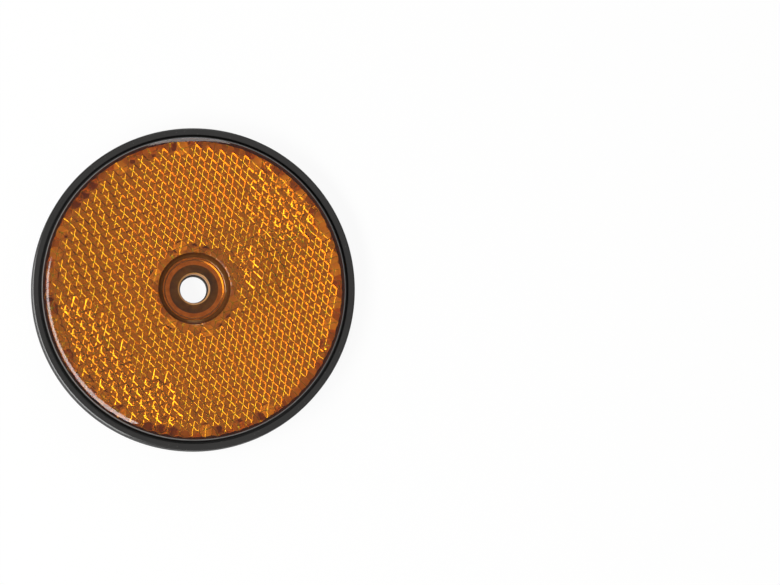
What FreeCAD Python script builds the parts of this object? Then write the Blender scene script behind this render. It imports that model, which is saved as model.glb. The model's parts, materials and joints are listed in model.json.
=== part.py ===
import FreeCAD, Part
import math
import os

import Sketcher

# A round screw-on reflector: an amber prism lens seated in a shallow black housing.
# Its back face lies on Z = 0, the optical axis is Z and light comes in from +Z.

# Driving sizes in millimetres and degrees.
SIZES = {
    # Housing
    "housing_diameter": 80.0,
    "overall_height": 8.0,
    "floor_thickness": 2.0,
    "seat_height": 1.0,
    "rim_height": 6.0,
    "rim_wall": 1.9,
    "rim_draft": 0.2,
    "rim_edge_chamfer": 0.5,
    "rim_lip_chamfer": 0.25,
    "foot_chamfer": 0.4,
    "screw_hole_diameter": 6.6,
    # Lens
    "seam_gap": 0.4,
    "skirt_wall": 1.6,
    "plate_thickness": 2.0,
    "shoulder_radius": 1.2,
    "lens_hole_clearance": 0.3,
    "hole_lip_chamfer": 0.5,
    "tube_wall": 2.4,
    "dish_radius": 8.9,
    "dish_depth": 1.8,
    "dish_slope_run": 0.6,
    "dish_edge_chamfer": 0.3,
    "dish_corner_chamfer": 0.6,
    "dish_floor_thickness": 2.0,
    "dish_wall": 1.4,
    "dish_flank": 0.5,
    # Cube-corner prisms
    "prism_pitch": 3.08,
    "prism_turn": -12.0,
    "insert_overrun": 0.5,
}

# Radii and heights that follow from the driving sizes.
HOUSING_RADIUS = "Sizes.housing_diameter / 2"
RIM_TOP_RADIUS = f"({HOUSING_RADIUS} - Sizes.rim_draft)"
RIM_INNER_RADIUS = f"({HOUSING_RADIUS} - Sizes.rim_wall)"
LENS_RADIUS = f"({RIM_INNER_RADIUS} - Sizes.seam_gap)"
FIELD_RADIUS = f"({LENS_RADIUS} - Sizes.skirt_wall)"
SCREW_HOLE_RADIUS = "(Sizes.screw_hole_diameter / 2)"
LENS_HOLE_RADIUS = f"({SCREW_HOLE_RADIUS} + Sizes.lens_hole_clearance)"
TUBE_RADIUS = f"({LENS_HOLE_RADIUS} + Sizes.tube_wall)"
DISH_FLOOR_RADIUS = "(Sizes.dish_radius - Sizes.dish_slope_run)"
FIELD_INNER_RADIUS = "(Sizes.dish_radius + Sizes.dish_flank)"
GROOVE_RADIUS = f"({FIELD_INNER_RADIUS} - Sizes.dish_wall)"

SEAT_LEVEL = "(Sizes.floor_thickness + Sizes.seat_height)"
DISH_FLOOR_LEVEL = "(Sizes.overall_height - Sizes.dish_depth)"
GROOVE_LEVEL = f"({DISH_FLOOR_LEVEL} - Sizes.dish_floor_thickness)"
VALLEY_LEVEL = "(Sizes.overall_height - Sizes.plate_thickness)"

FULL_TURN = 360.0
EDGE_TOLERANCE = 1e-6
SEWING_TOLERANCE = 1e-5
CORNER_TOLERANCE = 1e-4

# Directions in the prism lattice, in degrees from its first row.
SECOND_ROW_ANGLE = -60.0
FIRST_RIDGE_ANGLE = 30.0
FIRST_VALLEY_ANGLE = 90.0
MIRROR_TURNS = (0.0, 120.0, 240.0)
# The axis lies this share of a pitch from the nearest apex.
AXIS_SHARE = 0.5


def make_sheet(document):
    """Write the driving sizes into a spreadsheet, one aliased cell each."""
    sheet = document.addObject("Spreadsheet::Sheet", "Sizes")
    for row, (alias, value) in enumerate(SIZES.items(), start=1):
        sheet.set(f"A{row}", alias)
        sheet.set(f"B{row}", str(value))
        sheet.setAlias(f"B{row}", alias)
    document.recompute()
    return sheet


def number(owner, formula):
    """Value of a formula on the sheet, as a plain number."""
    return float(owner.evalExpression(formula))


def origin_plane(body, role):
    """One of the body's own origin planes."""
    return next(feature for feature in body.Origin.OriginFeatures if feature.Role == role)


def turned_body(document, name, corners):
    """Body turned about Z from a closed outline whose corners are (radius, height) formulas."""
    body = document.addObject("PartDesign::Body", name)
    sketch = body.newObject("Sketcher::SketchObject", f"{name}_outline")
    sketch.AttachmentSupport = (origin_plane(body, "XZ_Plane"), [""])
    sketch.MapMode = "FlatFace"
    points = [
        FreeCAD.Vector(number(sketch, radius), number(sketch, height), 0)
        for radius, height in corners
    ]
    for start, end in zip(points, points[1:] + points[:1]):
        sketch.addGeometry(Part.LineSegment(start, end), False)
    for index, (radius, height) in enumerate(corners):
        before = (index - 1) % len(corners)
        sketch.addConstraint(Sketcher.Constraint("Coincident", before, 2, index, 1))
        across = Sketcher.Constraint("DistanceX", -1, 1, index, 1, points[index].x)
        sketch.setExpression(f"Constraints[{sketch.addConstraint(across)}]", radius)
        up = Sketcher.Constraint("DistanceY", -1, 1, index, 1, points[index].y)
        sketch.setExpression(f"Constraints[{sketch.addConstraint(up)}]", height)
    turned = body.newObject("PartDesign::Revolution", f"{name}_turned")
    turned.Profile = sketch
    turned.ReferenceAxis = (sketch, ["V_Axis"])
    turned.Angle = FULL_TURN
    document.recompute()
    return body


def round_edge(body, radius, height, fillet_alias):
    """Fillet the body's circular edge at this radius and height."""
    base = body.Tip
    edge_radius = number(body, radius)
    edge_height = number(body, height)
    names = [
        f"Edge{index}"
        for index, edge in enumerate(base.Shape.Edges, start=1)
        if isinstance(edge.Curve, Part.Circle)
        and abs(edge.Curve.Radius - edge_radius) < EDGE_TOLERANCE
        and abs(edge.Curve.Center.z - edge_height) < EDGE_TOLERANCE
    ]
    fillet = body.newObject("PartDesign::Fillet", f"{body.Name}_{fillet_alias}")
    fillet.Base = (base, names)
    fillet.setExpression("Radius", f"Sizes.{fillet_alias}")
    body.Document.recompute()


def make_housing(document):
    """Black shell: back plate, rim, weld ledge under the lens skirt and pad round the screw hole."""
    return turned_body(
        document,
        "housing",
        [
            (SCREW_HOLE_RADIUS, "0"),
            (f"{HOUSING_RADIUS} - Sizes.foot_chamfer", "0"),
            (HOUSING_RADIUS, "Sizes.foot_chamfer"),
            (RIM_TOP_RADIUS, "Sizes.rim_height - Sizes.rim_edge_chamfer"),
            (f"{RIM_TOP_RADIUS} - Sizes.rim_edge_chamfer", "Sizes.rim_height"),
            (f"{RIM_INNER_RADIUS} + Sizes.rim_lip_chamfer", "Sizes.rim_height"),
            (RIM_INNER_RADIUS, "Sizes.rim_height - Sizes.rim_lip_chamfer"),
            (RIM_INNER_RADIUS, SEAT_LEVEL),
            (FIELD_RADIUS, SEAT_LEVEL),
            (FIELD_RADIUS, "Sizes.floor_thickness"),
            (TUBE_RADIUS, "Sizes.floor_thickness"),
            (TUBE_RADIUS, SEAT_LEVEL),
            (SCREW_HOLE_RADIUS, SEAT_LEVEL),
        ],
    )


def make_lens_blank(document):
    """Amber moulding before its prisms: plate, skirt and dished centre, solid across the back."""
    body = turned_body(
        document,
        "lens_blank",
        [
            (LENS_HOLE_RADIUS, SEAT_LEVEL),
            (TUBE_RADIUS, SEAT_LEVEL),
            (TUBE_RADIUS, GROOVE_LEVEL),
            (GROOVE_RADIUS, GROOVE_LEVEL),
            (GROOVE_RADIUS, SEAT_LEVEL),
            (LENS_RADIUS, SEAT_LEVEL),
            (LENS_RADIUS, "Sizes.overall_height"),
            ("Sizes.dish_radius + Sizes.dish_edge_chamfer", "Sizes.overall_height"),
            ("Sizes.dish_radius", "Sizes.overall_height - Sizes.dish_edge_chamfer"),
            (DISH_FLOOR_RADIUS, f"{DISH_FLOOR_LEVEL} + Sizes.dish_corner_chamfer"),
            (f"{DISH_FLOOR_RADIUS} - Sizes.dish_corner_chamfer", DISH_FLOOR_LEVEL),
            (f"{LENS_HOLE_RADIUS} + Sizes.hole_lip_chamfer", DISH_FLOOR_LEVEL),
            (LENS_HOLE_RADIUS, f"{DISH_FLOOR_LEVEL} - Sizes.hole_lip_chamfer"),
        ],
    )
    round_edge(body, LENS_RADIUS, "Sizes.overall_height", "shoulder_radius")
    return body


def polar(centre, length, degrees, height):
    """Point at a distance and direction from a centre, at its own height."""
    angle = math.radians(degrees)
    return FreeCAD.Vector(centre.x + length * math.cos(angle), centre.y + length * math.sin(angle), height)


def prism_centres(pitch, turn, reach):
    """Apex positions on a triangular lattice, with the axis midway between two of them."""
    along = polar(FreeCAD.Vector(), pitch, turn, 0)
    aslant = polar(FreeCAD.Vector(), pitch, turn + SECOND_ROW_ANGLE, 0)
    span = math.ceil(2 * reach / pitch)
    steps = range(-span, span + 1)
    places = [along * i + aslant * (j + AXIS_SHARE) for i in steps for j in steps]
    return [place for place in places if place.Length < reach]


def cube_corner_faces(centre, pitch, turn, valley):
    """Three square mirrors that meet at right angles in one apex pointing away from the light."""
    spoke = pitch / 2 / math.cos(math.radians(FIRST_RIDGE_ANGLE))
    rise = spoke / math.sqrt(2)
    apex = FreeCAD.Vector(centre.x, centre.y, valley - 2 * rise)
    turns = [turn + mirror_turn for mirror_turn in MIRROR_TURNS]
    ridge_ends = [polar(centre, spoke, angle + FIRST_RIDGE_ANGLE, valley - rise) for angle in turns]
    valleys = [polar(centre, spoke, angle + FIRST_VALLEY_ANGLE, valley) for angle in turns]
    next_ends = ridge_ends[1:] + ridge_ends[:1]
    return [[apex, *corners] for corners in zip(ridge_ends, valleys, next_ends)]


def polygon_face(corners):
    """Flat face with straight sides."""
    return Part.Face(Part.makePolygon(corners + corners[:1]))


def corner_key(corner):
    """Plan position in whole steps of the tolerance, the same for corners that meet."""
    return round(corner.x / CORNER_TOLERANCE), round(corner.y / CORNER_TOLERANCE)


def open_sides(outlines):
    """Sides that belong to one outline only, in order round the rim of the patch."""
    sides = {}
    for outline in outlines:
        for start, end in zip(outline, outline[1:] + outline[:1]):
            start_key, end_key = corner_key(start), corner_key(end)
            if sides.pop((end_key, start_key), None) is None:
                sides[(start_key, end_key)] = (start, end)
    after = {start_key: (end_key, side) for (start_key, end_key), side in sides.items()}
    key = next(iter(after))
    ordered = []
    while key in after:
        key, side = after.pop(key)
        ordered.append(side)
    return ordered


def make_prism_insert(document, sheet):
    """Mould insert whose stepped top face forms the cube corners on the back of the lens."""
    insert = document.addObject("Part::Feature", "prism_insert")
    pitch = sheet.prism_pitch
    turn = sheet.prism_turn
    valley = number(insert, VALLEY_LEVEL)
    foot = number(insert, SEAT_LEVEL) - sheet.insert_overrun
    reach = number(insert, FIELD_RADIUS) + pitch
    outlines = [
        outline
        for centre in prism_centres(pitch, turn, reach)
        for outline in cube_corner_faces(centre, pitch, turn, valley)
    ]
    rim = open_sides(outlines)
    rim_feet = [FreeCAD.Vector(start.x, start.y, foot) for start, end in rim]
    walls = [
        [start, end, FreeCAD.Vector(end.x, end.y, foot), FreeCAD.Vector(start.x, start.y, foot)]
        for start, end in rim
    ]
    shell = Part.makeShell([polygon_face(outline) for outline in outlines + walls + [rim_feet]])
    shell.sewShape(SEWING_TOLERANCE)
    insert.Shape = Part.makeSolid(shell)
    return insert


def make_field_ring(document):
    """Plain ring between the dish and the skirt, which the prisms fill."""
    disc = document.addObject("Part::Cylinder", "field_disc")
    disc.setExpression("Radius", FIELD_RADIUS)
    core = document.addObject("Part::Cylinder", "field_core")
    core.setExpression("Radius", FIELD_INNER_RADIUS)
    for cylinder in (disc, core):
        cylinder.setExpression("Height", "Sizes.overall_height")
    ring = document.addObject("Part::Cut", "field_ring")
    ring.Base = disc
    ring.Tool = core
    return ring


def make_lens(document, sheet):
    """Lens blank with the prism ring pressed into its back."""
    field = document.addObject("Part::Common", "prism_field")
    field.Base = make_field_ring(document)
    field.Tool = make_prism_insert(document, sheet)
    lens = document.addObject("Part::Cut", "lens")
    lens.Base = make_lens_blank(document)
    lens.Tool = field
    document.recompute()
    return lens


def check(document, pieces):
    """Stop if a feature failed or a finished piece is not one sound solid."""
    for item in document.Objects:
        if "Invalid" in item.State or "Error" in item.State:
            raise RuntimeError(f"{item.Label} failed: {item.State}")
    for piece in pieces:
        if piece.Shape.isNull() or not piece.Shape.isValid() or len(piece.Shape.Solids) != 1:
            raise RuntimeError(f"{piece.Label} is not one sound solid")


def main():
    """Build the reflector and write one file per piece."""
    document = FreeCAD.newDocument("round_reflector")
    sheet = make_sheet(document)
    pieces = [make_housing(document), make_lens(document, sheet)]
    check(document, pieces)
    os.makedirs("parts", exist_ok=True)
    for piece in pieces:
        piece.Shape.exportStep(os.path.join("parts", f"{piece.Label}.step"))
        print(piece.Label, round(piece.Shape.Volume, 1), len(piece.Shape.Faces))


main()
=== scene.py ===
"""Looks of a round screw-on reflector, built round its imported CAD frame.

An amber acrylic lens, with cube-corner prisms moulded on its back, stands in a shallow black
ABS housing. Sizes of the pieces are in millimetres and become metres where a mesh is made. Sizes
of the studio are in metres, where a name does not say otherwise. Angles are in degrees.
"""

import json
import logging
import math
from collections.abc import Callable, Iterator, Sequence
from contextlib import contextmanager
from dataclasses import dataclass
from enum import Enum, IntEnum

import bmesh
import bpy
from mathutils import Matrix, Vector

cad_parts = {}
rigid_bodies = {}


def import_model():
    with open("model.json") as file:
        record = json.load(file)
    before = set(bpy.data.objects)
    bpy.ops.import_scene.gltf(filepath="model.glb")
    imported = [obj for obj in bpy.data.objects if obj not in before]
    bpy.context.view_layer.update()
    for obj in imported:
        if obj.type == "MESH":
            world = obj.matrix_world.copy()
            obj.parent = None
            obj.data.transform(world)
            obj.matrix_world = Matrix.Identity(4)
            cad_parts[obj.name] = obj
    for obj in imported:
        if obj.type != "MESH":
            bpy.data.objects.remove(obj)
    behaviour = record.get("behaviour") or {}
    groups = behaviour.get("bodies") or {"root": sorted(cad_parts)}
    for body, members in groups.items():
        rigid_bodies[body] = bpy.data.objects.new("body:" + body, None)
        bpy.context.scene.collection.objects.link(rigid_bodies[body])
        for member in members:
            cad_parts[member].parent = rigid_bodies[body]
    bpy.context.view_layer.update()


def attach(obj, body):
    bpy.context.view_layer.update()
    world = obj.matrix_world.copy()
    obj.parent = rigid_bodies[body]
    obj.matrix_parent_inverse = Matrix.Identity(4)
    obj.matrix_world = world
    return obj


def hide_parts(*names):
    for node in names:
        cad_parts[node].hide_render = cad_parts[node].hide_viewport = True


LOG = logging.getLogger("reflector")
BODY = "root"
IMAGE_WIDTH = 780
IMAGE_HEIGHT = 585
MM_PER_METRE = 1000.0
TURNING_SEGMENTS = 192
TOUCH_MM = 0.002
SEAT_GAP_MM = 0.02
LATTICE_ANGLE = 60.0
# The Mix node has sockets of the same name for each kind of value: these are its colour sockets.
MIX_FIRST = 6
MIX_SECOND = 7
MIX_RESULT = 2


class Element(Enum):
    """Kinds of mesh element that edit mode can select."""

    VERT = "verts"
    EDGE = "edges"
    FACE = "faces"


class Combine(Enum):
    """Ways in which a tool body changes a piece."""

    DIFFERENCE = "DIFFERENCE"
    INTERSECT = "INTERSECT"


class LensSlot(IntEnum):
    """Material slots of the lens, in the order in which it gets its materials."""

    CLEAR = 0
    FACET = 1
    EDGE = 2
    ROOF = 3
    WELD = 4
    CUP = 5
    LIP = 6
    # Painted highlight line round the shoulder of the lens.
    SEAM = 7
    BEVEL = 8
    WALL = 9
    SKIRT = 10
    FLAW = 11


class HousingSlot(IntEnum):
    """Material slots of the housing, in the order in which it gets its materials."""

    SATIN = 0
    # Coarse finish, painted darker as shade in the hole and on the side.
    COARSE = 1


STRIP_SLOTS = (LensSlot.EDGE, LensSlot.FLAW)
FLAT_SLOTS = (LensSlot.FACET, *STRIP_SLOTS, LensSlot.BEVEL, LensSlot.SEAM)


def metres(millimetres: float) -> float:
    """Turn millimetres to metres."""
    return millimetres / MM_PER_METRE


def per_metre(size_mm: float) -> float:
    """Texture scale of a pattern whose features have this size."""
    return MM_PER_METRE / size_mm


def from_axis(place: Vector) -> float:
    """Distance of a place, given in metres, from the Z axis in millimetres."""
    return place.xy.length * MM_PER_METRE


def edge_middle(edge: bmesh.types.BMEdge) -> Vector:
    """Middle of an edge, in metres."""
    return (edge.verts[0].co + edge.verts[1].co) / 2.0


def linear(hex_colour: str) -> tuple[float, float, float, float]:
    """Turn an sRGB colour to linear light, with the numbers of the sRGB standard.

    Args:
        hex_colour: Colour as a hash sign and six hex digits.

    Returns:
        Linear red, green and blue, with an alpha of one.
    """
    shares = [int(hex_colour[start : start + 2], 16) / 255.0 for start in (1, 3, 5)]
    red, green, blue = (
        share / 12.92 if share <= 0.04045 else ((share + 0.055) / 1.055) ** 2.4
        for share in shares
    )
    return (red, green, blue, 1.0)


def add_node(
    tree: bpy.types.NodeTree,
    kind: str,
    settings: dict[str | int, object] | None = None,
    links: dict[str | int, bpy.types.NodeSocket] | None = None,
) -> bpy.types.Node:
    """Add a shader node with its settings and links.

    Args:
        tree: Node tree that gets the node.
        kind: Blender's name for the node, less its ShaderNode prefix.
        settings: Values by input name or number, or by the node's own property name.
        links: Feeding sockets by input name or number.

    Returns:
        The new node.
    """
    node = tree.nodes.new(f"ShaderNode{kind}")
    for name, value in (settings or {}).items():
        if isinstance(name, int) or name in node.inputs:
            node.inputs[name].default_value = value
        else:
            setattr(node, name, value)
    for name, socket in (links or {}).items():
        tree.links.new(socket, node.inputs[name])
    return node


def new_tree(name: str) -> tuple[bpy.types.Material, bpy.types.NodeTree]:
    """Make a material with an empty node tree.

    Args:
        name: Name of the material.

    Returns:
        The material and its node tree.
    """
    material = bpy.data.materials.new(name)
    material.use_nodes = True
    material.node_tree.nodes.clear()
    return material, material.node_tree


def give_slots(piece: bpy.types.Object, materials: Sequence[bpy.types.Material]) -> None:
    """Give a piece its material slots, in order."""
    for material in materials:
        piece.data.materials.append(material)


def deselect_all() -> None:
    """Deselect every object."""
    for other in bpy.context.view_layer.objects:
        other.select_set(False)


def activate(piece: bpy.types.Object) -> None:
    """Make a piece the only selected object and the active one.

    Args:
        piece: Object to make active.
    """
    deselect_all()
    piece.select_set(True)
    bpy.context.view_layer.objects.active = piece


@contextmanager
def editing(piece: bpy.types.Object) -> Iterator[None]:
    """Edit mode on one piece, with nothing in it selected at first.

    Args:
        piece: Mesh object to edit.

    Returns:
        A context that goes back to object mode when it ends.
    """
    activate(piece)
    bpy.ops.object.mode_set(mode="EDIT")
    bpy.ops.mesh.select_all(action="DESELECT")
    yield
    bpy.ops.object.mode_set(mode="OBJECT")


def pick(piece: bpy.types.Object, kind: Element, test: Callable[..., bool]) -> None:
    """Select the elements that pass a test, in edit mode.

    Args:
        piece: Mesh object in edit mode.
        kind: Kind of element to select.
        test: Says whether one element is selected.
    """
    bpy.ops.mesh.select_mode(type=kind.name)
    bpy.ops.mesh.select_all(action="DESELECT")
    mesh = bmesh.from_edit_mesh(piece.data)
    chosen = [element for element in getattr(mesh, kind.value) if test(element)]
    for element in chosen:
        element.select_set(True)
    mesh.select_flush(True)
    bmesh.update_edit_mesh(piece.data)


def apply_modifier(piece: bpy.types.Object, kind: str, **settings: object) -> None:
    """Add a modifier to a piece and apply it.

    Args:
        piece: Mesh object to change.
        kind: Blender's modifier type.
        **settings: The modifier's properties.
    """
    activate(piece)
    modifier = piece.modifiers.new(kind.lower(), kind)
    for name, value in settings.items():
        setattr(modifier, name, value)
    bpy.ops.object.modifier_apply(modifier=modifier.name)


def cut(piece: bpy.types.Object, tool: bpy.types.Object, way: Combine) -> None:
    """Combine a piece with a tool body, which is then removed."""
    apply_modifier(piece, "BOOLEAN", object=tool, operation=way.value, solver="EXACT")
    bpy.data.objects.remove(tool, do_unlink=True)


@dataclass(frozen=True)
class Corner:
    """Corner of a turned outline, with the radius that rounds it."""

    radius: float
    height: float
    rounding: float = 0.0
    steps: int = 4

    def on_edge(self, edge: bmesh.types.BMEdge) -> bool:
        """Tell whether an edge lies on this corner's circle.

        Args:
            edge: Edge of the turned mesh.

        Returns:
            True where both its ends lie on the circle.
        """
        return all(
            abs(vert.co.xy.length - metres(self.radius)) < metres(TOUCH_MM)
            and abs(vert.co.z - metres(self.height)) < metres(TOUCH_MM)
            for vert in edge.verts
        )


def turned(name: str, outline: Sequence[Corner]) -> bpy.types.Object:
    """Turn a closed outline about Z, ring by ring, and round its corners.

    Args:
        name: Name of the new object.
        outline: Corners in order round the outline.

    Returns:
        A closed mesh at the origin.
    """
    deselect_all()
    first = outline[0]
    bpy.ops.mesh.primitive_circle_add(
        vertices=TURNING_SEGMENTS,
        radius=metres(first.radius),
        location=(0.0, 0.0, metres(first.height)),
    )
    piece = bpy.context.object
    piece.name = name
    piece.data.name = name
    bpy.ops.object.transform_apply(location=True, rotation=True, scale=True)
    with editing(piece):
        bpy.ops.mesh.select_all(action="SELECT")
        for before, corner in zip(outline, [*outline[1:], first]):
            lift = metres(corner.height - before.height)
            growth = corner.radius / before.radius
            bpy.ops.mesh.extrude_edges_move(TRANSFORM_OT_translate={"value": (0.0, 0.0, lift)})
            bpy.ops.transform.resize(
                value=(growth, growth, 1.0), center_override=(0.0, 0.0, metres(corner.height))
            )
        bpy.ops.mesh.select_all(action="SELECT")
        bpy.ops.mesh.remove_doubles(threshold=metres(TOUCH_MM))
        bpy.ops.mesh.normals_make_consistent(inside=False)
        for corner in outline:
            if corner.rounding:
                pick(piece, Element.EDGE, corner.on_edge)
                bpy.ops.mesh.bevel(
                    offset=metres(corner.rounding),
                    segments=corner.steps,
                    affect="EDGES",
                    clamp_overlap=False,
                )
    return piece


@dataclass(frozen=True)
class Flaw:
    """Patch of the prism field where the mould left the corners out of true."""

    across: float
    up: float
    reach: float
    offset: float
    seed: int

    def covers(self, place: Vector) -> bool:
        """Tell whether a place, in metres, lies in this patch."""
        gap = Vector((place.x - metres(self.across), place.y - metres(self.up)))
        return gap.length < metres(self.reach)

    def holds(self, vert: bmesh.types.BMVert) -> bool:
        """Tell whether a corner point lies in this patch."""
        return self.covers(vert.co)


FLAWS = (
    Flaw(21.5, 22.5, 9.5, 0.06, 2),
    Flaw(-29.5, -10.5, 7.5, 0.06, 3),
    Flaw(-22.0, -21.5, 8.0, 0.06, 4),
    Flaw(-10.5, -28.5, 7.0, 0.06, 5),
    Flaw(12.2, 6.0, 4.5, 0.04, 6),
)


@dataclass(frozen=True)
class BlackAbs:
    """Black ABS from a spark-eroded mould: satin, with a fine even grain and a little dust."""

    name: str = "black_abs_moulded"
    shade: str = "#242322"
    cloud: str = "#2E2D2C"
    dust: str = "#77746F"
    cloud_mm: float = 7.0
    # A real grain is too fine to show, so it is drawn about three times as coarse.
    grain_mm: float = 0.3
    grain_depth: float = 0.02
    grain_strength: float = 0.12
    speck_mm: float = 1.1
    speck_edge: float = 0.1
    speck_core: float = 0.04
    dust_cover: float = 0.55
    roughness: float = 0.2
    gloss_spread: float = 0.06
    dull_spread: float = 0.08
    specular: float = 0.5
    ior: float = 1.54

    def material(self) -> bpy.types.Material:
        """Build the material.

        Returns:
            A new material.
        """
        material, tree = new_tree(self.name)
        place = add_node(tree, "TexCoord").outputs["Object"]
        clouds = add_node(
            tree, "TexNoise", {"Scale": per_metre(self.cloud_mm), "Detail": 4.0}, {"Vector": place}
        )
        grain = add_node(
            tree, "TexNoise", {"Scale": per_metre(self.grain_mm), "Detail": 2.0}, {"Vector": place}
        )
        specks = add_node(
            tree, "TexVoronoi", {"Scale": per_metre(self.speck_mm)}, {"Vector": place}
        )
        body = add_node(
            tree,
            "Mix",
            {"data_type": "RGBA", MIX_FIRST: linear(self.shade), MIX_SECOND: linear(self.cloud)},
            {"Factor": clouds.outputs["Fac"]},
        )
        # Only the middle of a cell holds a speck, so the dust is sparse and fine.
        dusty = add_node(
            tree,
            "MapRange",
            {"From Min": self.speck_edge, "From Max": self.speck_core, "To Max": self.dust_cover},
            {"Value": specks.outputs["Distance"]},
        )
        colour = add_node(
            tree,
            "Mix",
            {"data_type": "RGBA", MIX_SECOND: linear(self.dust)},
            {"Factor": dusty.outputs["Result"], MIX_FIRST: body.outputs[MIX_RESULT]},
        )
        glossy, dull = self.roughness - self.gloss_spread, self.roughness + self.dull_spread
        sheen = add_node(
            tree, "MapRange", {"To Min": glossy, "To Max": dull}, {"Value": clouds.outputs["Fac"]}
        )
        bump = add_node(
            tree,
            "Bump",
            {"Strength": self.grain_strength, "Distance": metres(self.grain_depth)},
            {"Height": grain.outputs["Fac"]},
        )
        shader = add_node(
            tree,
            "BsdfPrincipled",
            {"IOR": self.ior, "Specular IOR Level": self.specular},
            {
                "Base Color": colour.outputs[MIX_RESULT],
                "Roughness": sheen.outputs["Result"],
                "Normal": bump.outputs["Normal"],
            },
        )
        add_node(tree, "OutputMaterial", None, {"Surface": shader.outputs["BSDF"]})
        return material


@dataclass(frozen=True)
class ClearAcrylic:
    """Amber acrylic polished in the mould: clear and glossy, deeper in colour where it is thick."""

    name: str = "amber_acrylic_polished"
    tint: str = "#FF9120"
    ior: float = 1.491
    roughness: float = 0.02
    dull_factor: float = 2.5
    flow_mm: float = 6.0
    absorption: str = "#E8DC40"
    density: float = 60.0

    def material(self) -> bpy.types.Material:
        """Build the material.

        Returns:
            A new material.
        """
        material, tree = new_tree(self.name)
        place = add_node(tree, "TexCoord").outputs["Object"]
        flow = add_node(
            tree, "TexNoise", {"Scale": per_metre(self.flow_mm), "Detail": 2.0}, {"Vector": place}
        )
        polish = add_node(
            tree,
            "MapRange",
            {"To Min": self.roughness, "To Max": self.roughness * self.dull_factor},
            {"Value": flow.outputs["Fac"]},
        )
        shader = add_node(
            tree,
            "BsdfPrincipled",
            {"Base Color": linear(self.tint), "IOR": self.ior, "Transmission Weight": 1.0},
            {"Roughness": polish.outputs["Result"]},
        )
        depth = add_node(
            tree,
            "VolumeAbsorption",
            {"Color": linear(self.absorption), "Density": self.density},
        )
        add_node(
            tree,
            "OutputMaterial",
            None,
            {"Surface": shader.outputs["BSDF"], "Volume": depth.outputs["Volume"]},
        )
        return material


@dataclass(frozen=True)
class PrismMirror:
    """Back of a prism, which returns light like a mirror and is wavy in the flawed patches."""

    name: str
    light: str
    deep: str
    roughness: float
    gloss_factor: float = 0.6
    dull_factor: float = 1.4
    cloud_mm: float = 3.0
    wave_mm: float = 0.65
    wave_depth: float = 0.07
    calm: float = 0.002
    stir: float = 0.7
    stirred_share: float = 0.5
    level: float = 5.0

    def unrest(
        self, tree: bpy.types.NodeTree, place: bpy.types.NodeSocket
    ) -> bpy.types.NodeSocket:
        """Spread the waves over the field, with the most of them in the flawed patches.

        Args:
            tree: Node tree of the material.
            place: Object coordinates.

        Returns:
            Share of the waves that each place has.
        """
        share = None
        for flaw in FLAWS:
            middle = Vector((flaw.across, flaw.up, self.level)) / MM_PER_METRE
            gap = add_node(tree, "VectorMath", {"operation": "DISTANCE", 1: middle}, {0: place})
            patch = add_node(
                tree,
                "MapRange",
                {
                    "interpolation_type": "SMOOTHSTEP",
                    "From Min": metres(flaw.reach),
                    "From Max": metres(flaw.reach) * self.stirred_share,
                    "To Min": self.calm,
                    "To Max": self.stir,
                },
                {"Value": gap.outputs["Value"]},
            ).outputs["Result"]
            if share is None:
                share = patch
            else:
                share = add_node(
                    tree, "Math", {"operation": "MAXIMUM"}, {0: share, 1: patch}
                ).outputs[0]
        return share

    def material(self) -> bpy.types.Material:
        """Build the material.

        Returns:
            A new material.
        """
        material, tree = new_tree(self.name)
        place = add_node(tree, "TexCoord").outputs["Object"]
        clouds = add_node(
            tree, "TexNoise", {"Scale": per_metre(self.cloud_mm), "Detail": 3.0}, {"Vector": place}
        )
        colour = add_node(
            tree,
            "Mix",
            {"data_type": "RGBA", MIX_FIRST: linear(self.deep), MIX_SECOND: linear(self.light)},
            {"Factor": clouds.outputs["Fac"]},
        )
        glossy, dull = self.roughness * self.gloss_factor, self.roughness * self.dull_factor
        polish = add_node(
            tree, "MapRange", {"To Min": glossy, "To Max": dull}, {"Value": clouds.outputs["Fac"]}
        )
        waves = add_node(
            tree, "TexNoise", {"Scale": per_metre(self.wave_mm), "Detail": 1.0}, {"Vector": place}
        )
        bump = add_node(
            tree,
            "Bump",
            {"Distance": metres(self.wave_depth)},
            {"Strength": self.unrest(tree, place), "Height": waves.outputs["Fac"]},
        )
        shader = add_node(
            tree,
            "BsdfPrincipled",
            {"Metallic": 1.0},
            {
                "Base Color": colour.outputs[MIX_RESULT],
                "Roughness": polish.outputs["Result"],
                "Normal": bump.outputs["Normal"],
            },
        )
        add_node(tree, "OutputMaterial", None, {"Surface": shader.outputs["BSDF"]})
        return material


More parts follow.
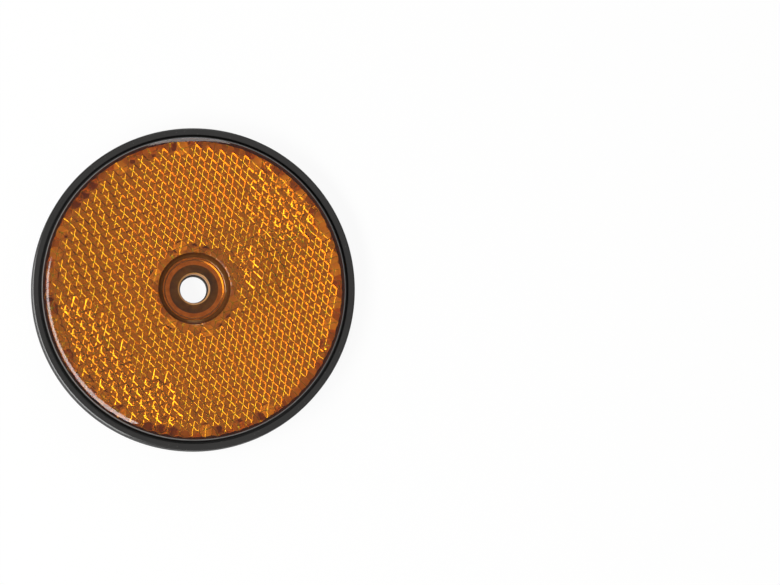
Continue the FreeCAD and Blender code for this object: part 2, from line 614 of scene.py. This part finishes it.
@dataclass(frozen=True)
class MattAcrylic:
    """Amber acrylic against an eroded mould face: matt, so that it scatters brown light; it also
    carries the painted highlight line and the painted shade on the dish wall and skirt.
    """

    name: str
    light: str
    deep: str
    metallic: float = 0.0
    roughness: float = 0.6
    sheen: str = "#FFFFFF"
    inner_side: str = ""
    cloud_mm: float = 1.4
    # A real grain is too fine to show, so it is drawn about three times as coarse.
    grain_mm: float = 0.3
    grain_depth: float = 0.05
    grain_strength: float = 0.3

    def material(self) -> bpy.types.Material:
        """Build the material.

        Returns:
            A new material.
        """
        material, tree = new_tree(self.name)
        place = add_node(tree, "TexCoord").outputs["Object"]
        clouds = add_node(
            tree, "TexNoise", {"Scale": per_metre(self.cloud_mm), "Detail": 4.0}, {"Vector": place}
        )
        grain = add_node(
            tree, "TexNoise", {"Scale": per_metre(self.grain_mm), "Detail": 2.0}, {"Vector": place}
        )
        colour = add_node(
            tree,
            "Mix",
            {"data_type": "RGBA", MIX_FIRST: linear(self.deep), MIX_SECOND: linear(self.light)},
            {"Factor": clouds.outputs["Fac"]},
        )
        # The inner colour shows from inside the lens; the outer colour is where the dish wall and
        # skirt carry their painted shade.
        if self.inner_side:
            inside = add_node(tree, "NewGeometry").outputs["Backfacing"]
            colour = add_node(
                tree,
                "Mix",
                {"data_type": "RGBA", MIX_SECOND: linear(self.inner_side)},
                {"Factor": inside, MIX_FIRST: colour.outputs[MIX_RESULT]},
            )
        bump = add_node(
            tree,
            "Bump",
            {"Strength": self.grain_strength, "Distance": metres(self.grain_depth)},
            {"Height": grain.outputs["Fac"]},
        )
        shader = add_node(
            tree,
            "BsdfPrincipled",
            {
                "Roughness": self.roughness,
                "Metallic": self.metallic,
                "Specular Tint": linear(self.sheen),
            },
            {"Base Color": colour.outputs[MIX_RESULT], "Normal": bump.outputs["Normal"]},
        )
        add_node(tree, "OutputMaterial", None, {"Surface": shader.outputs["BSDF"]})
        return material


@dataclass
class Housing:
    """Black housing: back plate, rim, ledge under the lens skirt and pad round the screw hole."""

    radius: float = 40.0
    rim_top_radius: float = 39.8
    rim_inner_radius: float = 38.1
    ledge_inner_radius: float = 36.1
    pad_radius: float = 6.0
    hole_radius: float = 3.3
    rim_height: float = 6.0
    seat_level: float = 3.0
    floor_level: float = 2.0
    bevel_run: float = 0.36
    bevel_drop: float = 0.145
    hole_rounding: float = 0.15
    back_rounding: float = 0.4
    bevel_rounding: float = 0.05
    rim_rounding: float = 0.25
    coarse_and_shaded_side_depth: float = 0.1
    coarse_and_shaded_hole_reach: float = 0.4
    smooth_angle: float = 20.0
    finish: BlackAbs = BlackAbs()
    # Coarser erosion on the side and in the hole: duller, and painted darker as the shade that
    # falls there.
    coarse_and_shaded: BlackAbs = BlackAbs(
        "black_abs_coarse", "#161514", "#1C1B1A", roughness=0.6, specular=0.2
    )

    def outline(self) -> list[Corner]:
        """Draw the turned outline.

        Returns:
            Corners from the back of the hole outwards and round to its front.
        """
        return [
            Corner(self.hole_radius, 0.0, self.hole_rounding, steps=2),
            Corner(self.radius, 0.0, self.back_rounding),
            Corner(self.rim_top_radius, self.rim_height - self.bevel_drop, self.bevel_rounding),
            Corner(self.rim_top_radius - self.bevel_run, self.rim_height),
            Corner(self.rim_inner_radius, self.rim_height, self.rim_rounding, steps=3),
            Corner(self.rim_inner_radius, self.seat_level),
            Corner(self.ledge_inner_radius, self.seat_level),
            Corner(self.ledge_inner_radius, self.floor_level),
            Corner(self.pad_radius, self.floor_level),
            Corner(self.pad_radius, self.seat_level),
            Corner(self.hole_radius, self.seat_level, self.hole_rounding, steps=2),
        ]

    def build(self) -> bpy.types.Object:
        """Model and dress the housing.

        Returns:
            The finished piece.
        """
        piece = turned("black_housing", self.outline())
        give_slots(piece, [self.finish.material(), self.coarse_and_shaded.material()])
        side_radius = self.rim_top_radius - self.coarse_and_shaded_side_depth
        side_top = self.rim_height - self.bevel_drop
        # The side and the hole get the coarse finish, painted darker as shade.
        for face in piece.data.polygons:
            reach, level = from_axis(face.center), face.center.z * MM_PER_METRE
            on_side = reach > side_radius and level < side_top
            if on_side or reach < self.hole_radius + self.coarse_and_shaded_hole_reach:
                face.material_index = HousingSlot.COARSE
        activate(piece)
        bpy.ops.object.shade_smooth_by_angle(angle=math.radians(self.smooth_angle))
        apply_modifier(piece, "WEIGHTED_NORMAL", keep_sharp=True)
        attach(piece, BODY)
        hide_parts("housing")
        return piece


@dataclass(frozen=True)
class Strip:
    """Narrow strips on both sides of some prism edges, which lean off the facets."""

    test: Callable[[bmesh.types.BMEdge], bool]
    width: float
    slot: LensSlot


@dataclass
class PrismField:
    """Ring of cube corners on the back of the lens, made as the mould insert that shapes it."""

    inner_radius: float = 8.9
    cup_radius: float = 9.8
    cup_level: float = 4.4
    outer_radius: float = 36.1
    pitch: float = 3.08
    turn: float = -12.0
    valley_level: float = 6.0
    foot_level: float = 2.2
    ring_foot_level: float = 2.6
    ring_top_level: float = 7.0
    ridge_width: float = 0.088
    valley_width: float = 0.06
    flawed_ridge_width: float = 0.22
    flawed_valley_width: float = 0.12
    edge_lean: float = 15.0
    edge_clearance: float = 0.3
    petal_radius: float = 10.2
    hem_radius: float = 35.3
    shade_radius: float = 36.0
    sharp_way: float = 18.0
    sharp_spread: float = 20.0
    worn_side: float = -30.0
    worn_from: float = -4.0
    half_count: int = 15
    spare_cells: float = 1.2
    evenness: float = 0.3
    play: Flaw = Flaw(0.0, 0.0, 60.0, 0.0015, 1)

    def row(self, degrees: float) -> Vector:
        """One lattice step in a direction, in metres."""
        angle = math.radians(degrees)
        return Vector((math.cos(angle), math.sin(angle), 0.0)) * metres(self.pitch)

    def rows(self) -> tuple[Vector, Vector]:
        """The two steps that make up the lattice, in metres."""
        return self.row(self.turn), self.row(self.turn - LATTICE_ANGLE)

    def ridge_rise(self) -> float:
        """Height of a valley point over the ends of the ridges."""
        return self.pitch / math.sqrt(6.0)

    def corner_cell(self) -> bpy.types.Object:
        """Model one cube corner from a cube that stands on its corner.

        Returns:
            Three square faces that meet in an apex.
        """
        edge = self.pitch / math.sqrt(2.0)
        along, aslant = self.rows()
        start = along * -self.half_count + aslant * (0.5 - self.half_count)
        # The cube's centre lies half its body diagonal above the apex.
        apex = self.valley_level - 2.0 * self.ridge_rise()
        centre = metres(apex + edge * math.sqrt(3.0) / 2.0)
        stand = (
            Matrix.Rotation(math.radians(self.turn + 90.0), 4, "Z")
            @ Matrix.Rotation(-math.atan(math.sqrt(2.0)), 4, "Y")
            @ Matrix.Rotation(math.radians(-45.0), 4, "Z")
        )
        deselect_all()
        bpy.ops.mesh.primitive_cube_add(
            size=metres(edge),
            location=start + Vector((0.0, 0.0, centre)),
            rotation=stand.to_euler(),
        )
        cell = bpy.context.object
        bpy.ops.object.transform_apply(location=True, rotation=True, scale=True)
        with editing(cell):
            pick(cell, Element.FACE, lambda face: face.normal.z > 0.0)
            bpy.ops.mesh.delete(type="FACE")
        return cell

    def worn(self, edge: bmesh.types.BMEdge) -> bool:
        """Tell whether an edge runs in one of the two directions in which the mould is worn.

        Args:
            edge: Edge of a prism.

        Returns:
            True for an inner edge well off the sharp direction.
        """
        way = edge.verts[1].co - edge.verts[0].co
        angle = math.degrees(math.atan2(way.y, way.x)) - self.sharp_way
        off_sharp = abs((angle + 90.0) % 180.0 - 90.0)
        return not edge.is_boundary and off_sharp > self.sharp_spread

    def flawed(self, edge: bmesh.types.BMEdge) -> bool:
        """Tell whether the middle of an edge lies in a flawed patch."""
        return any(flaw.covers(edge_middle(edge)) for flaw in FLAWS)

    def above_ridges(self, edge: bmesh.types.BMEdge) -> float:
        """Height of an edge's middle over the ends of the ridges, in millimetres."""
        return edge_middle(edge).z * MM_PER_METRE - (self.valley_level - self.ridge_rise())

    def on_ridge(self, edge: bmesh.types.BMEdge) -> bool:
        """Tell whether a worn edge runs down to an apex."""
        return self.worn(edge) and self.above_ridges(edge) < -self.edge_clearance

    def on_valley(self, edge: bmesh.types.BMEdge) -> bool:
        """Tell whether a worn edge runs up to a valley point."""
        return self.worn(edge) and self.above_ridges(edge) > self.edge_clearance

    def on_worn_side(self, edge: bmesh.types.BMEdge) -> bool:
        """Tell whether an edge lies on the side where the valleys are worn too.

        Args:
            edge: Edge of a prism.

        Returns:
            True where its middle lies on that side.
        """
        middle = edge_middle(edge) * MM_PER_METRE
        side = math.radians(self.worn_side)
        return middle.x * math.cos(side) + middle.y * math.sin(side) > self.worn_from

    def strips(self) -> list[Strip]:
        """List the leaning strips, which catch the light.

        Returns:
            Strips in the order in which they are made: flawed and plain ridges, then valleys.
        """
        return [
            Strip(
                lambda edge: self.on_ridge(edge) and self.flawed(edge),
                self.flawed_ridge_width,
                LensSlot.FLAW,
            ),
            Strip(
                lambda edge: self.on_ridge(edge) and not self.flawed(edge),
                self.ridge_width,
                LensSlot.EDGE,
            ),
            Strip(
                lambda edge: self.on_valley(edge) and self.flawed(edge),
                self.flawed_valley_width,
                LensSlot.FLAW,
            ),
            Strip(
                lambda edge: self.on_valley(edge)
                and self.on_worn_side(edge)
                and not self.flawed(edge),
                self.valley_width,
                LensSlot.EDGE,
            ),
        ]

    def lean(self, sheet: bpy.types.Object, strip: Strip) -> None:
        """Lean narrow strips off the facets on both sides of some edges.

        Args:
            sheet: Sheet of cube corners in edit mode.
            strip: Which edges get the strips, how wide and in which slot.
        """
        pick(sheet, Element.EDGE, strip.test)
        # A two-segment bevel has its middle at the square root of its profile value.
        middle = 1.0 / (1.0 + math.tan(math.radians(self.edge_lean)))
        bpy.ops.mesh.bevel(
            offset=metres(strip.width),
            segments=2,
            profile=middle * middle,
            affect="EDGES",
            clamp_overlap=False,
            material=strip.slot,
        )

    def sheet(self, materials: Sequence[bpy.types.Material]) -> bpy.types.Object:
        """Copy the cell over the field and put the flaws and leaning strips in.

        Args:
            materials: The lens materials in the order of its slots.

        Returns:
            An open sheet of cube corners, wider than the field.
        """
        sheet = self.corner_cell()
        sheet.name = "prism_insert"
        for step in self.rows():
            apply_modifier(
                sheet,
                "ARRAY",
                count=2 * self.half_count + 1,
                use_relative_offset=False,
                use_constant_offset=True,
                constant_offset_displace=step,
            )
        give_slots(sheet, materials)
        limit = metres(self.outer_radius + self.spare_cells * self.pitch)
        with editing(sheet):
            bpy.ops.mesh.select_all(action="SELECT")
            bpy.ops.mesh.remove_doubles(threshold=metres(TOUCH_MM))
            pick(
                sheet,
                Element.FACE,
                lambda face: face.calc_center_median().xy.length > limit,
            )
            bpy.ops.mesh.delete(type="FACE")
            for flaw in (self.play, *FLAWS):
                pick(sheet, Element.VERT, flaw.holds)
                bpy.ops.transform.vertex_random(
                    offset=metres(flaw.offset), uniform=self.evenness, normal=0.0, seed=flaw.seed
                )
            for strip in self.strips():
                self.lean(sheet, strip)
        return sheet

    def ring(self) -> bpy.types.Object:
        """Model the ring that bounds the field, with the cone round the dish.

        Returns:
            A closed body without materials.
        """
        return turned(
            "prism_ring",
            [
                Corner(self.inner_radius, self.ring_foot_level),
                Corner(self.outer_radius, self.ring_foot_level),
                Corner(self.outer_radius, self.ring_top_level),
                Corner(self.cup_radius, self.ring_top_level),
                Corner(self.cup_radius, self.valley_level),
                Corner(self.inner_radius, self.cup_level),
            ],
        )

    def insert(self, materials: Sequence[bpy.types.Material]) -> bpy.types.Object:
        """Close the sheet to a body and trim it to the ring of the field.

        Args:
            materials: The lens materials in the order of its slots.

        Returns:
            A closed body whose top is the prism relief.
        """
        insert = self.sheet(materials)
        ring = self.ring()
        give_slots(ring, materials)
        for face in insert.data.polygons:
            if face.material_index not in STRIP_SLOTS:
                reach = from_axis(face.center)
                whole = self.petal_radius < reach < self.hem_radius
                # Cut-off cells past the shade radius take the skirt finish, whose outer side is
                # painted shade.
                cut_off = LensSlot.SKIRT if reach > self.shade_radius else LensSlot.CUP
                face.material_index = LensSlot.FACET if whole else cut_off
        for face in ring.data.polygons:
            inner = from_axis(face.center) < self.cup_radius + TOUCH_MM
            face.material_index = LensSlot.CUP if inner else LensSlot.FACET
        foot = metres(self.foot_level)
        with editing(insert):
            pick(insert, Element.EDGE, lambda edge: edge.is_boundary)
            bpy.ops.mesh.extrude_edges_move()
            bpy.ops.transform.resize(value=(1.0, 1.0, 0.0), center_override=(0.0, 0.0, foot))
            bpy.ops.mesh.edge_face_add()
            bpy.ops.mesh.select_all(action="SELECT")
            bpy.ops.mesh.quads_convert_to_tris()
            bpy.ops.mesh.normals_make_consistent(inside=False)
        cut(insert, ring, Combine.INTERSECT)
        return insert


@dataclass(frozen=True)
class Zone:
    """Ring of lens faces that share a finish."""

    slot: LensSlot
    inner: float
    outer: float
    low: float
    high: float

    def holds(self, face: bmesh.types.BMFace) -> bool:
        """Tell whether a face belongs to this ring.

        Args:
            face: Face of the lens.

        Returns:
            True where its middle lies in the ring.
        """
        middle = face.calc_center_median() * MM_PER_METRE
        return (
            self.inner < middle.xy.length < self.outer
            and self.low - TOUCH_MM < middle.z < self.high + TOUCH_MM
        )


@dataclass
class Lens:
    """Amber lens: plate, skirt, dished centre with the screw hole, and prisms on the back."""

    radius: float = 37.7
    top_level: float = 8.0
    seat_level: float = 3.0
    shoulder: tuple[tuple[float, float], ...] = (
        (0.0, 1.9),
        (0.04, 1.5),
        (0.15, 1.2),
        (0.31, 0.99),
        (0.48, 0.83),
        (0.75, 0.64),
        (1.05, 0.47),
        (1.85, 0.09),
        (2.05, 0.02),
        (2.3, 0.0),
    )
    hidden_level: float = 5.8
    hole_radius: float = 3.6
    tube_radius: float = 6.0
    groove_radius: float = 8.0
    groove_level: float = 4.3
    groove_rise: float = 0.1
    bevel_inner: float = 7.05
    bevel_outer: float = 7.45
    dish_radius: float = 8.95
    dish_foot_radius: float = 8.15
    dish_level: float = 6.2
    dish_rounding: float = 0.35
    dish_foot_rounding: float = 0.9
    hole_rounding: float = 0.5
    wall_inner: float = 7.75
    wall_outer: float = 8.85
    wall_level: float = 7.8
    lip_reach: float = 0.35
    # Band on the shoulder that carries the painted highlight line, measured in from the rim.
    highlight_line_inner: float = 0.45
    highlight_line_outer: float = 0.3
    skirt_depth: float = 0.25
    zone_margin: float = 0.1
    smooth_angle: float = 30.0
    clear: ClearAcrylic = ClearAcrylic()
    # Polished prism face: an even mirror, brown through the amber.
    facet: PrismMirror = PrismMirror("amber_prism_facet", "#FAF8EC", "#F4F0E0", 0.04)
    # Worn prism edge: a thin golden line.
    edge: PrismMirror = PrismMirror("amber_prism_edge", "#CCFFE4", "#C4FAD8", 0.1)
    # Badly filled prism edge: a broad golden smear.
    flaw: PrismMirror = PrismMirror("amber_prism_flaw", "#ECFFE8", "#E4FAE0", 0.1)
    # Satin groove roof: a soft copper ring under the dish.
    roof: MattAcrylic = MattAcrylic("amber_acrylic_satin", "#F0DCC8", "#A88468", 1.0, 0.3)
    # Welded tube foot: a dull dark ring round the hole.
    weld: MattAcrylic = MattAcrylic("amber_acrylic_welded", "#8E9A8C", "#5A6258")
    # Eroded cone and cut-off cells: plain orange brown.
    cup: MattAcrylic = MattAcrylic("amber_acrylic_eroded", "#FFFFFF", "#FFF4E8", 0.6, 0.5)
    # Drilled edge of the hole: a pale ring that scatters light.
    lip: MattAcrylic = MattAcrylic("amber_acrylic_drilled", "#D09A58", "#A06A34", 0.0, 0.35)
    # Painted highlight: a thin grey line round the shoulder, standing in for the reflection on the
    # lens's edge.
    highlight_line: MattAcrylic = MattAcrylic("acrylic_parting_line", "#7C7A78", "#5E5C5A", 0.0, 0.45)
    # Ground bevel in the groove: a narrow bright ring.
    bevel: MattAcrylic = MattAcrylic("amber_acrylic_ground", "#ACB0A0", "#989C8C", 1.0, 0.2)
    # Dish wall: painted dark brown as the shade that the clear wall turns the view into, with a
    # golden sheen and a pale inner side.
    wall: MattAcrylic = MattAcrylic(
        "amber_acrylic_shaded", "#64391C", "#45260F", 0.0, 0.15, "#FFC060", "#FFF0D8"
    )
    # Skirt: painted nearly black outside as the shade between lens and rim, pale on its inner side.
    skirt: MattAcrylic = MattAcrylic(
        "amber_acrylic_skirt", "#14100C", "#0C0806", 0.0, 0.3, inner_side="#E0B888"
    )

    def outline(self) -> list[Corner]:
        """Draw the turned outline.

        Returns:
            Corners from the foot of the centre tube outwards and round to the dish.
        """
        foot = self.seat_level + SEAT_GAP_MM
        return [
            Corner(self.hole_radius, foot),
            Corner(self.tube_radius, foot),
            Corner(self.tube_radius, self.groove_level - self.groove_rise),
            Corner(self.bevel_inner, self.groove_level - self.groove_rise),
            Corner(self.bevel_outer, self.groove_level),
            Corner(self.groove_radius, self.groove_level),
            Corner(self.groove_radius, foot),
            Corner(self.radius, foot),
            Corner(self.radius, self.hidden_level),
            *(Corner(self.radius - run, self.top_level - drop) for run, drop in self.shoulder),
            Corner(self.dish_radius, self.top_level, self.dish_rounding),
            Corner(self.dish_foot_radius, self.dish_level, self.dish_foot_rounding, steps=6),
            Corner(self.hole_radius, self.dish_level, self.hole_rounding, steps=6),
        ]

    def zones(self, field: PrismField) -> list[Zone]:
        """List the rings of faces that are not clear.

        Args:
            field: Prisms on the back of the lens.

        Returns:
            Rings in the order in which they are dressed: the groove's roof and bevel, the ring
            and wall outside it, the dish wall, the tube's foot, the hole's lip, the painted
            highlight line and the skirt.
        """
        foot, dish, top = self.seat_level + SEAT_GAP_MM, self.dish_level, self.top_level
        roof, roof_edge = self.groove_level, self.groove_level - self.groove_rise
        tube, groove = self.tube_radius, self.groove_radius
        hole, rim = self.hole_radius, self.radius
        margin = self.zone_margin
        highlight_line = (rim - self.highlight_line_inner, rim - self.highlight_line_outer)
        return [
            Zone(LensSlot.ROOF, tube, groove, roof_edge, roof),
            Zone(LensSlot.BEVEL, self.bevel_inner, self.bevel_outer, roof_edge, roof),
            Zone(LensSlot.CUP, groove, field.inner_radius, foot, foot),
            Zone(LensSlot.CUP, groove - margin, groove, foot + margin, roof - margin),
            # The dish wall gets its painted shade.
            Zone(LensSlot.WALL, self.wall_inner, self.wall_outer, dish, self.wall_level),
            Zone(LensSlot.WELD, hole, tube, foot, foot),
            Zone(LensSlot.LIP, hole - margin, hole + self.lip_reach, foot + margin, dish),
            # A narrow band of the shoulder gets the painted highlight line.
            Zone(LensSlot.SEAM, *highlight_line, self.hidden_level, top),
            # The skirt's outer face gets its painted shade.
            Zone(LensSlot.SKIRT, rim - self.skirt_depth, rim, foot + margin, top),
        ]

    def materials(self) -> list[bpy.types.Material]:
        """Build the materials of the lens.

        Returns:
            Materials in the order of the slots.
        """
        finishes = {
            LensSlot.CLEAR: self.clear,
            LensSlot.FACET: self.facet,
            LensSlot.EDGE: self.edge,
            LensSlot.ROOF: self.roof,
            LensSlot.WELD: self.weld,
            LensSlot.CUP: self.cup,
            LensSlot.LIP: self.lip,
            LensSlot.SEAM: self.highlight_line,
            LensSlot.BEVEL: self.bevel,
            LensSlot.WALL: self.wall,
            LensSlot.SKIRT: self.skirt,
            LensSlot.FLAW: self.flaw,
        }
        return [finishes[slot].material() for slot in LensSlot]

    def build(self, field: PrismField) -> bpy.types.Object:
        """Model and dress the lens.

        Args:
            field: Prisms on the back of the lens.

        Returns:
            The finished piece.
        """
        materials = self.materials()
        piece = turned("amber_lens", self.outline())
        give_slots(piece, materials)
        cut(piece, field.insert(materials), Combine.DIFFERENCE)
        activate(piece)
        bpy.ops.object.shade_smooth_by_angle(angle=math.radians(self.smooth_angle))
        with editing(piece):
            for zone in self.zones(field):
                pick(piece, Element.FACE, zone.holds)
                piece.active_material_index = zone.slot
                bpy.ops.object.material_slot_assign()
            pick(piece, Element.FACE, lambda face: face.material_index in FLAT_SLOTS)
            bpy.ops.mesh.faces_shade_flat()
        apply_modifier(piece, "WEIGHTED_NORMAL", weight=100, keep_sharp=True)
        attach(piece, BODY)
        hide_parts("lens")
        return piece


@dataclass(frozen=True)
class Softbox:
    """Oval studio lamp that looks at the middle of the object."""

    name: str
    azimuth: float
    elevation: float
    distance: float
    width: float
    height: float
    radiance: float

    def build(self) -> None:
        """Hang the lamp."""
        turn, lift = math.radians(self.azimuth), math.radians(self.elevation)
        away = Vector(
            (math.cos(turn) * math.cos(lift), math.sin(turn) * math.cos(lift), math.sin(lift))
        )
        lamp = bpy.data.lights.new(self.name, "AREA")
        lamp.shape = "ELLIPSE"
        lamp.size = self.width
        lamp.size_y = self.height
        area = math.pi / 4.0 * self.width * self.height
        lamp.energy = self.radiance * math.pi * area
        holder = bpy.data.objects.new(self.name, lamp)
        bpy.context.scene.collection.objects.link(holder)
        holder.location = away * self.distance
        holder.rotation_euler = (-away).to_track_quat("-Z", "Y").to_euler()


@dataclass
class Studio:
    """Plain pale floor, soft light and the camera of the photograph."""

    floor_side: float = 6.0
    floor_gap_mm: float = 0.05
    floor_shade: str = "#F4F4F2"
    floor_glow: float = 0.92
    backdrop: str = "#FFFFFF"
    backdrop_fade: tuple[float, float] = (0.34, 0.14)
    tent: str = "#A2A2A2"
    zenith: str = "#ADADAD"
    zenith_fade: tuple[float, float] = (0.75, 0.96)
    distance: float = 1.0
    view_width: float = 0.193
    sensor_mm: float = 36.0
    tilt: float = 5.0
    tilt_direction: tuple[float, float] = (-0.58, -0.81)
    aim_height_mm: float = 3.0
    centre_pixel: tuple[float, float] = (193.45, 289.65)
    bounces: int = 24
    mirror_bounces: int = 16
    lamps: tuple[Softbox, ...] = (
        Softbox("softbox_left", 205.0, 50.0, 1.2, 1.45, 0.42, 9.0),
        Softbox("softbox_top", 89.0, 20.0, 1.2, 0.6, 0.5, 3.6),
    )

    def floor(self) -> None:
        """Lay the floor, which shows white to the camera and still takes the shadow."""
        deselect_all()
        bpy.ops.mesh.primitive_plane_add(
            size=self.floor_side, location=(0.0, 0.0, -metres(self.floor_gap_mm))
        )
        floor = bpy.context.object
        floor.name = "studio_floor"
        material, tree = new_tree("white_paper")
        rays = add_node(tree, "LightPath").outputs
        mirrored = add_node(
            tree,
            "Math",
            {"operation": "MAXIMUM"},
            {0: rays["Is Glossy Ray"], 1: rays["Is Transmission Ray"]},
        )
        seen = add_node(
            tree,
            "Math",
            {"operation": "MAXIMUM"},
            {0: rays["Is Camera Ray"], 1: mirrored.outputs[0]},
        )
        share = add_node(
            tree, "Math", {"operation": "MULTIPLY", 1: self.floor_glow}, {0: seen.outputs[0]}
        )
        paper = add_node(tree, "BsdfDiffuse", {"Color": linear(self.floor_shade)})
        glow = add_node(tree, "Emission")
        mixed = add_node(
            tree,
            "MixShader",
            None,
            {0: share.outputs[0], 1: paper.outputs[0], 2: glow.outputs[0]},
        )
        side = add_node(tree, "NewGeometry").outputs["Backfacing"]
        clear = add_node(tree, "BsdfTransparent")
        # From below the floor is clear, so the back of the object can be seen.
        both = add_node(
            tree, "MixShader", None, {0: side, 1: mixed.outputs[0], 2: clear.outputs[0]}
        )
        add_node(tree, "OutputMaterial", None, {"Surface": both.outputs[0]})
        floor.data.materials.append(material)

    def world(self) -> None:
        """Light the scene from all round: a white backdrop below, a grey tent above."""
        world = bpy.data.worlds.new("light_tent")
        bpy.context.scene.world = world
        world.use_nodes = True
        tree = world.node_tree
        tree.nodes.clear()
        direction = add_node(tree, "TexCoord").outputs["Generated"]
        height = add_node(tree, "SeparateXYZ", None, {0: direction}).outputs["Z"]
        high, low = (
            add_node(
                tree,
                "MapRange",
                {"interpolation_type": "SMOOTHSTEP", "From Min": start, "From Max": end},
                {"Value": height},
            ).outputs["Result"]
            for start, end in (self.zenith_fade, self.backdrop_fade)
        )
        roof = add_node(
            tree,
            "Mix",
            {"data_type": "RGBA", MIX_FIRST: linear(self.tent), MIX_SECOND: linear(self.zenith)},
            {"Factor": high},
        )
        shown = add_node(
            tree,
            "Mix",
            {"data_type": "RGBA", MIX_SECOND: linear(self.backdrop)},
            {"Factor": low, MIX_FIRST: roof.outputs[MIX_RESULT]},
        )
        light = add_node(tree, "Background", None, {"Color": shown.outputs[MIX_RESULT]})
        add_node(tree, "OutputWorld", None, {"Surface": light.outputs[0]})

    def camera(self) -> None:
        """Place the camera so that the object lands where the photograph has it."""
        data = bpy.data.cameras.new("photo_camera")
        data.sensor_width = self.sensor_mm
        data.lens = self.sensor_mm * self.distance / self.view_width
        holder = bpy.data.objects.new("photo_camera", data)
        bpy.context.scene.collection.objects.link(holder)
        bpy.context.scene.camera = holder
        lean = math.sin(math.radians(self.tilt))
        away = Vector(
            (
                self.tilt_direction[0] * lean,
                self.tilt_direction[1] * lean,
                math.cos(math.radians(self.tilt)),
            )
        ).normalized()
        right = Vector((0.0, 1.0, 0.0)).cross(away).normalized()
        look = Matrix((right, away.cross(right), away)).transposed()
        focal = IMAGE_WIDTH * data.lens / self.sensor_mm
        ray = Vector(
            (
                (self.centre_pixel[0] - IMAGE_WIDTH / 2.0) / focal,
                (IMAGE_HEIGHT / 2.0 - self.centre_pixel[1]) / focal,
                -1.0,
            )
        )
        swing = ray.rotation_difference(Vector((0.0, 0.0, -1.0)))
        target = Vector((0.0, 0.0, metres(self.aim_height_mm)))
        placed = (look.to_quaternion() @ swing).to_matrix().to_4x4()
        placed.translation = target + away * self.distance
        holder.matrix_world = placed

    def build(self) -> None:
        """Set up the whole studio."""
        self.floor()
        self.world()
        self.camera()
        for lamp in self.lamps:
            lamp.build()
        scene = bpy.context.scene
        scene.view_settings.view_transform = "Standard"
        scene.cycles.max_bounces = self.bounces
        scene.cycles.glossy_bounces = self.mirror_bounces
        scene.cycles.transmission_bounces = self.mirror_bounces


def main() -> None:
    """Load the frame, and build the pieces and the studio."""
    logging.basicConfig(level=logging.INFO)
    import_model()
    for piece in (Housing().build(), Lens().build(PrismField())):
        LOG.info("%s: %d faces", piece.name, len(piece.data.polygons))
    Studio().build()


if __name__ == "__main__":
    main()
